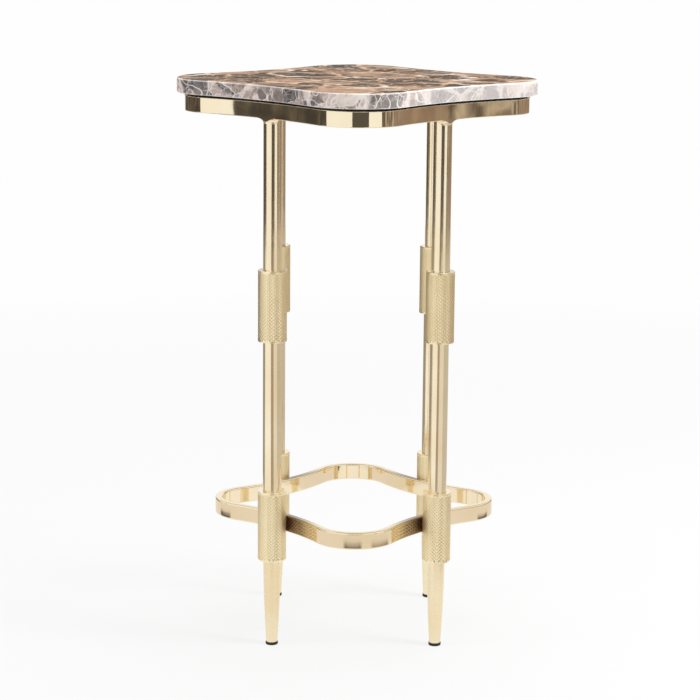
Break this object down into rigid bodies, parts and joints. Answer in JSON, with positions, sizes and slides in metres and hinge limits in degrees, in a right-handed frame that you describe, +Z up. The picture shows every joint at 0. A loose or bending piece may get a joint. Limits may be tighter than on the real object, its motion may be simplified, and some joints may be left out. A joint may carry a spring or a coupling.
{
  "type": "occasional table",
  "caption": "Tall slim occasional table: lobed polished marble top on a brass apron, straight jointed legs with knurled sleeves, tapered feet and a lobed stretcher ring.",
  "frame": {"origin": "on the floor, under the middle of the top", "axes": "+Z up; the top's lobes point along X and Y, the legs stand on the diagonals, and the pictured side faces -Y"},
  "size_m": [0.3898, 0.3898, 0.61],
  "materials": {
    "marble": "polished brown veined marble",
    "polished_brass": "polished and lacquered",
    "knurled_brass": "finely knurled, matt",
    "satin_brass": "satin brushed",
    "raw_brass": "plain, as machined",
    "zinc_steel": "zinc plated",
    "black_rubber": "matt black"
  },
  "bodies": {
    "root": {"marble_top": "marble", "seat_gasket": "black_rubber", "apron_band": "polished_brass", "stretcher_ring": "polished_brass", "top_screws": "zinc_steel", "top_washers": "zinc_steel", "top_inserts": "raw_brass", "ring_dowels": "raw_brass", "fixing_tab_right": "raw_brass", "fixing_tab_back": "raw_brass", "fixing_tab_left": "raw_brass", "fixing_tab_front": "raw_brass", "upper_tube_back_right": "polished_brass", "middle_sleeve_back_right": "knurled_brass", "lower_tube_back_right": "polished_brass", "lower_sleeve_back_right": "knurled_brass", "foot_back_right": "satin_brass", "glide_back_right": "black_rubber", "tie_rod_back_right": "zinc_steel", "upper_tube_back_left": "polished_brass", "middle_sleeve_back_left": "knurled_brass", "lower_tube_back_left": "polished_brass", "lower_sleeve_back_left": "knurled_brass", "foot_back_left": "satin_brass", "glide_back_left": "black_rubber", "tie_rod_back_left": "zinc_steel", "upper_tube_front_left": "polished_brass", "middle_sleeve_front_left": "knurled_brass", "lower_tube_front_left": "polished_brass", "lower_sleeve_front_left": "knurled_brass", "foot_front_left": "satin_brass", "glide_front_left": "black_rubber", "tie_rod_front_left": "zinc_steel", "upper_tube_front_right": "polished_brass", "middle_sleeve_front_right": "knurled_brass", "lower_tube_front_right": "polished_brass", "lower_sleeve_front_right": "knurled_brass", "foot_front_right": "satin_brass", "glide_front_right": "black_rubber", "tie_rod_front_right": "zinc_steel"}
  },
  "joints": []
}
